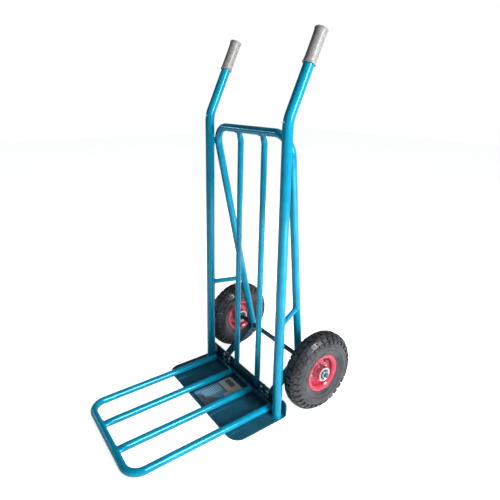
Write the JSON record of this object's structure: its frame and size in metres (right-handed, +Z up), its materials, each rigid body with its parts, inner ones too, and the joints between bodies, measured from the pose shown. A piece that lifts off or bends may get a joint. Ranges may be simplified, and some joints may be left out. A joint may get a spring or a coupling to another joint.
{
  "type": "hand truck",
  "caption": "Tubular steel hand truck with bent-back handles, a rear hoop brace, pneumatic wheels on a through axle and a tubular toe extension that folds up.",
  "frame": {"origin": "on the toe plate's underside, midway between the uprights' axes", "axes": "+Z up along the uprights, +Y back towards the wheels, +X to the right seen from the front"},
  "size_m": [0.53, 0.7605, 1.1616],
  "materials": {
    "blue_paint": "gloss turquoise-blue enamel on steel tube",
    "teal_paint": "gloss dark teal enamel on steel sheet and bar",
    "red_paint": "gloss red enamel on pressed steel",
    "zinc": "bright zinc plate",
    "grip_plastic": "satin grey moulded sleeve",
    "tyre": "moulded tread rubber",
    "tube_rubber": "smooth black rubber",
    "label_film": "printed film"
  },
  "bodies": {
    "root": {"left_upright": "blue_paint", "left_back_bar": "blue_paint", "left_tie": "blue_paint", "left_grip": "grip_plastic", "left_axle_arm": "teal_paint", "left_hinge_bracket": "teal_paint", "left_hinge_pin": "zinc", "left_hinge_bolt_inner": "zinc", "left_hinge_nut_inner": "zinc", "left_washer_inner": "zinc", "left_hinge_bolt_outer": "zinc", "left_hinge_nut_outer": "zinc", "left_washer_outer": "zinc", "left_push_nut": "zinc", "right_upright": "blue_paint", "right_back_bar": "blue_paint", "right_tie": "blue_paint", "right_grip": "grip_plastic", "right_axle_arm": "teal_paint", "right_hinge_bracket": "teal_paint", "right_hinge_pin": "zinc", "right_hinge_bolt_inner": "zinc", "right_hinge_nut_inner": "zinc", "right_washer_inner": "zinc", "right_hinge_bolt_outer": "zinc", "right_hinge_nut_outer": "zinc", "right_washer_outer": "zinc", "right_push_nut": "zinc", "rear_hoop": "blue_paint", "toe_plate": "teal_paint", "axle": "teal_paint", "label": "label_film"},
    "toe_extension": {"extension_hoop": "blue_paint", "left_extension_tube": "blue_paint", "right_extension_tube": "blue_paint", "hinge_bar": "teal_paint", "left_hinge_leaf": "teal_paint", "right_hinge_leaf": "teal_paint"},
    "left_wheel": {"left_tyre": "tyre", "left_inner_tube": "tube_rubber", "left_rim_outer": "red_paint", "left_rim_inner": "red_paint", "left_hub": "zinc", "left_bearing_outer": "zinc", "left_bearing_inner": "zinc", "left_rim_bolt_1": "zinc", "left_rim_bolt_2": "zinc", "left_rim_bolt_3": "zinc", "left_rim_bolt_4": "zinc"},
    "right_wheel": {"right_tyre": "tyre", "right_inner_tube": "tube_rubber", "right_rim_outer": "red_paint", "right_rim_inner": "red_paint", "right_hub": "zinc", "right_bearing_outer": "zinc", "right_bearing_inner": "zinc", "right_rim_bolt_1": "zinc", "right_rim_bolt_2": "zinc", "right_rim_bolt_3": "zinc", "right_rim_bolt_4": "zinc"}
  },
  "joints": [
    {"name": "extension_fold", "type": "hinge", "parent": "root", "child": "toe_extension", "pos_m": [0, 0.0145, 0.0255], "axis": [-1, 0, 0], "range_deg": [0, 90]},
    {"name": "left_wheel_spin", "type": "hinge", "parent": "root", "child": "left_wheel", "pos_m": [-0.223, 0.1435, 0.13], "axis": [1, 0, 0], "continuous": true},
    {"name": "right_wheel_spin", "type": "hinge", "parent": "root", "child": "right_wheel", "pos_m": [0.223, 0.1435, 0.13], "axis": [1, 0, 0], "continuous": true}
  ]
}
